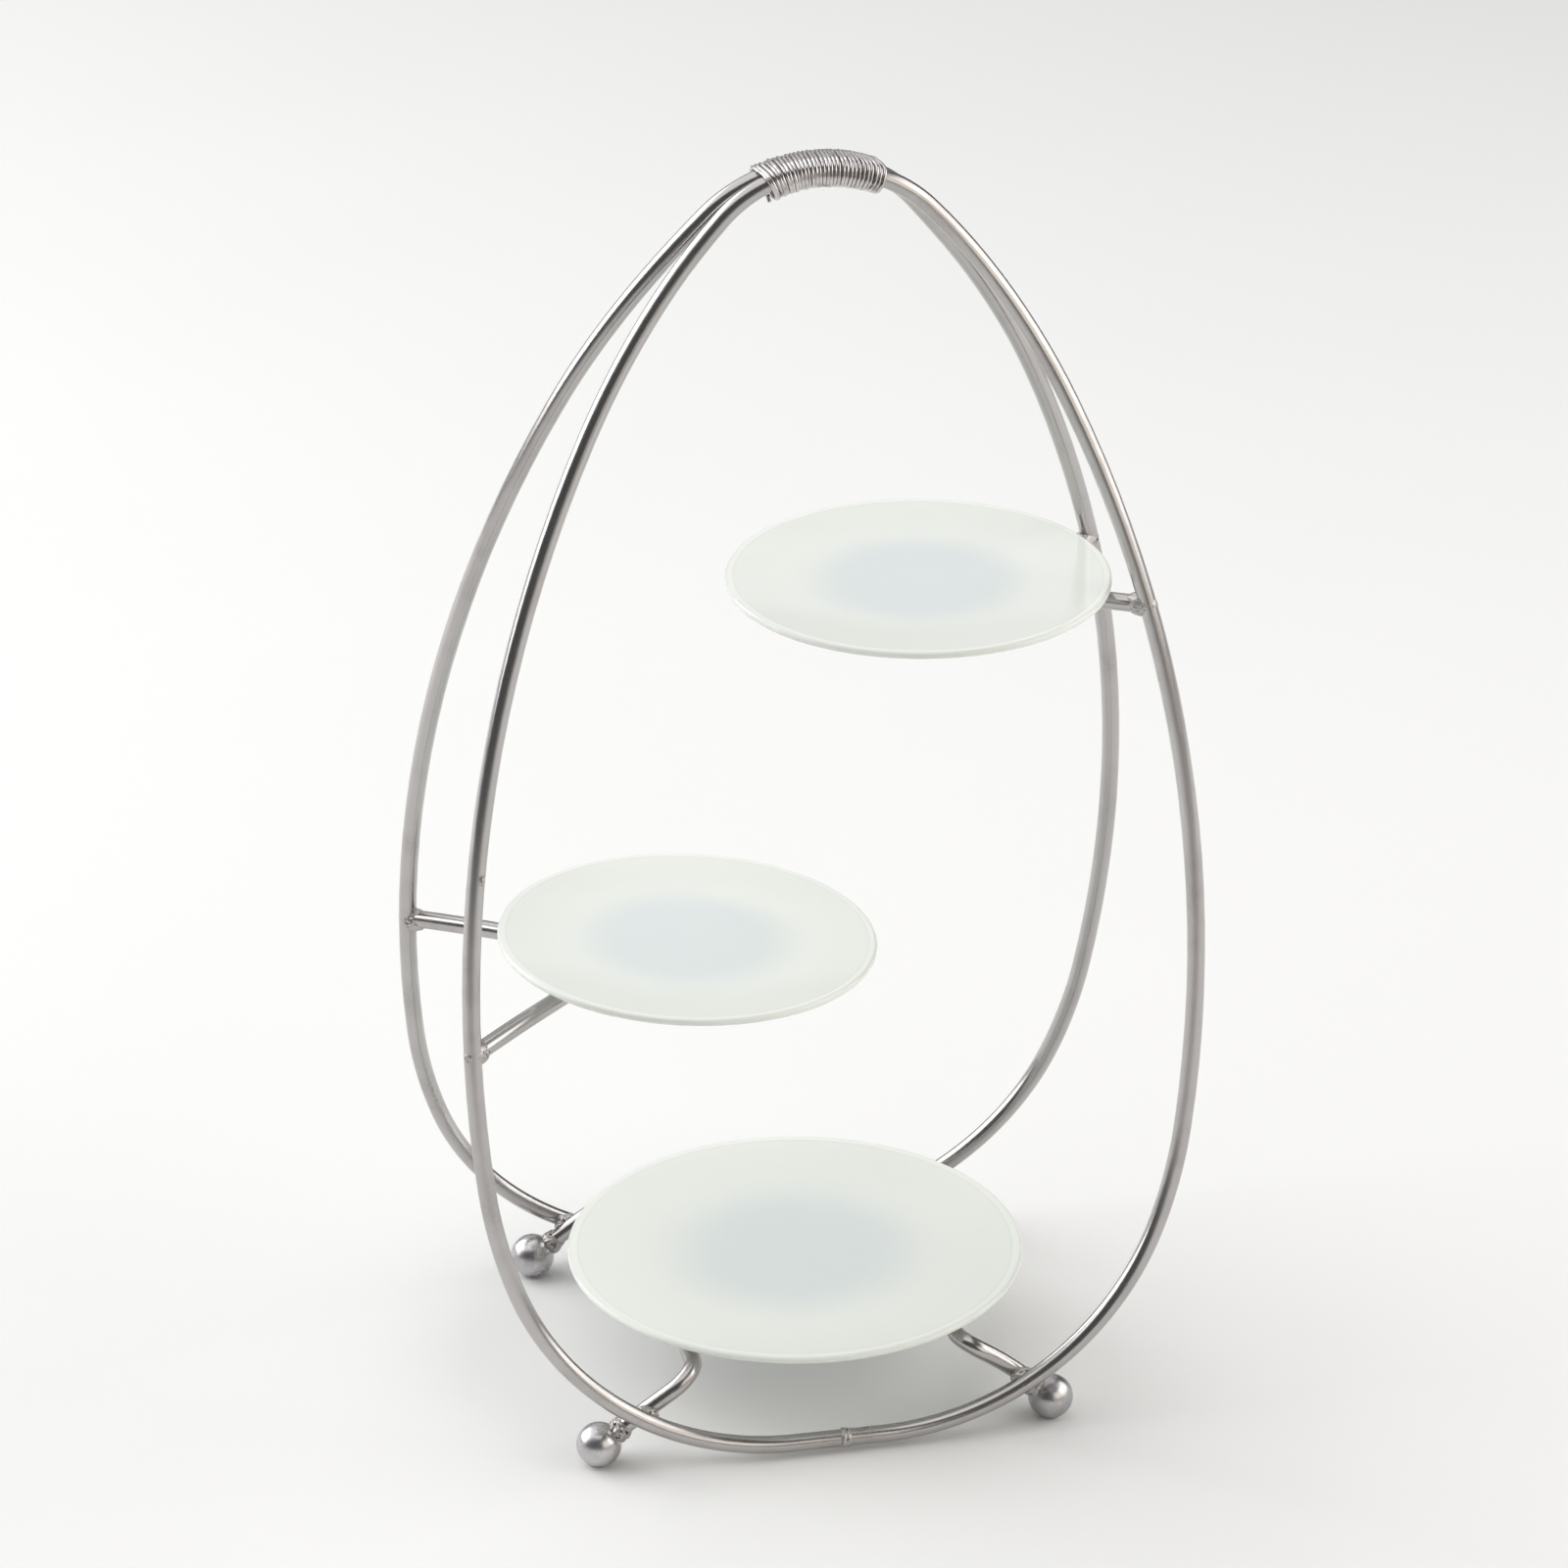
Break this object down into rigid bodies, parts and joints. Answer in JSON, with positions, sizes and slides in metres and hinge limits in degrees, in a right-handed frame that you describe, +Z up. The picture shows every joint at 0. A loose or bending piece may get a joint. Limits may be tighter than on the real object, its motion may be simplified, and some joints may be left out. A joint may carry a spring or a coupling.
{
  "type": "tiered cake stand",
  "caption": "Wire-rod cake stand: leaning egg-shaped hoops bound at the crown, ball feet, and loose round glass plates staggered on cantilever cradles.",
  "frame": {"origin": "on the floor, under the middle of the stand's overall box", "axes": "+Z up, +X to the right as seen from the front, -Y to the front"},
  "size_m": [0.3021, 0.184, 0.5131],
  "materials": {
    "satin_rod": "satin nickel-plated round rod",
    "binding_wire": "bright wound wire",
    "polished_ball": "polished ball",
    "weld_metal": "plated weld beads, slightly lumpy",
    "plate_glass": "opal glass, glossy, with a clear edge"
  },
  "bodies": {
    "stand": {"front_hoop": "satin_rod", "back_hoop": "satin_rod", "middle_cradle": "satin_rod", "upper_cradle": "satin_rod", "left_foot_rod": "satin_rod", "right_foot_rod": "satin_rod", "crown_binding": "binding_wire", "ball_foot_front_left": "polished_ball", "ball_foot_back_left": "polished_ball", "ball_foot_front_right": "polished_ball", "ball_foot_back_right": "polished_ball", "front_hoop_seam": "weld_metal", "back_hoop_seam": "weld_metal", "middle_cradle_weld_front": "weld_metal", "middle_cradle_weld_back": "weld_metal", "upper_cradle_weld_front": "weld_metal", "upper_cradle_weld_back": "weld_metal", "ball_weld_front_left": "weld_metal", "ball_weld_back_left": "weld_metal", "ball_weld_front_right": "weld_metal", "ball_weld_back_right": "weld_metal", "hoop_weld_front_left": "weld_metal", "hoop_weld_back_left": "weld_metal", "hoop_weld_front_right": "weld_metal", "hoop_weld_back_right": "weld_metal"},
    "lower_plate": {"lower_plate": "plate_glass"},
    "middle_plate": {"middle_plate": "plate_glass"},
    "upper_plate": {"upper_plate": "plate_glass"}
  },
  "joints": [
    {"name": "lower_plate_lift", "type": "slide", "parent": "stand", "child": "lower_plate", "axis": [0, -0.9063, 0.4226], "range_m": [0, 0.22]},
    {"name": "middle_plate_lift", "type": "slide", "parent": "stand", "child": "middle_plate", "axis": [0, -0.9063, 0.4226], "range_m": [0, 0.2]},
    {"name": "upper_plate_lift", "type": "slide", "parent": "stand", "child": "upper_plate", "axis": [-0.3509, -0.9023, 0.2506], "range_m": [0, 0.2]}
  ]
}
